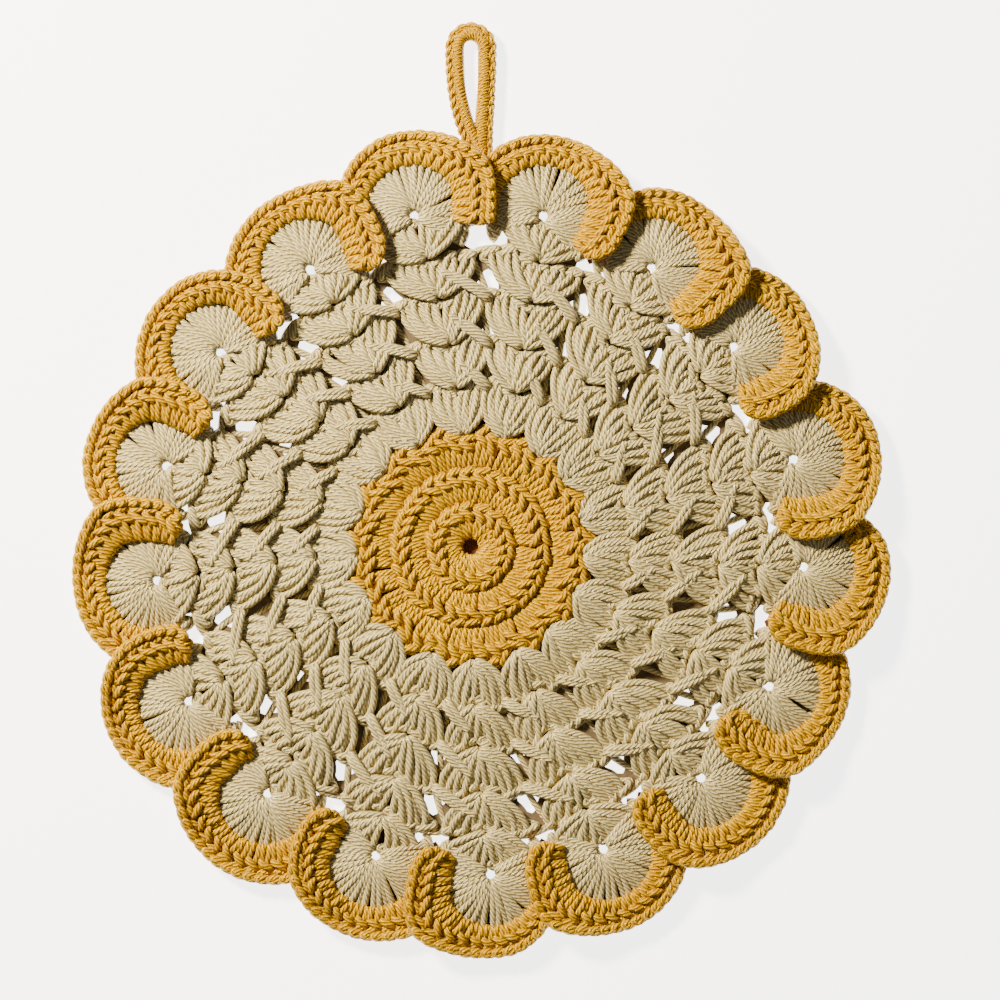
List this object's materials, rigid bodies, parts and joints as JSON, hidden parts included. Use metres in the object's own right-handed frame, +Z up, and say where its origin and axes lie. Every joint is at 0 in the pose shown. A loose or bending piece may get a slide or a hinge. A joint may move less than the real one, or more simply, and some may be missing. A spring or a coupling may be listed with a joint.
{
  "type": "crocheted pot holder",
  "caption": "Round crocheted pot holder with a golden centre, cream lace shells, a scalloped golden edge and a loop to hang it by.",
  "frame": {"origin": "on the surface it lies on, under the middle of the whole outline, loop included", "axes": "+Z up out of the face, +Y towards the hanging loop, +X to the right of the loop"},
  "size_m": [0.2118, 0.243, 0.0088],
  "materials": {
    "golden_yarn": "mercerised cotton yarn in golden yellow, plied and crocheted, with a faint sheen",
    "cream_yarn": "mercerised cotton yarn in warm cream, plied and crocheted, with a faint sheen"
  },
  "bodies": {
    "root": {"centre_disc": "golden_yarn", "cream_body": "cream_yarn", "scallop_edging": "golden_yarn", "hanging_loop": "golden_yarn"}
  },
  "joints": []
}
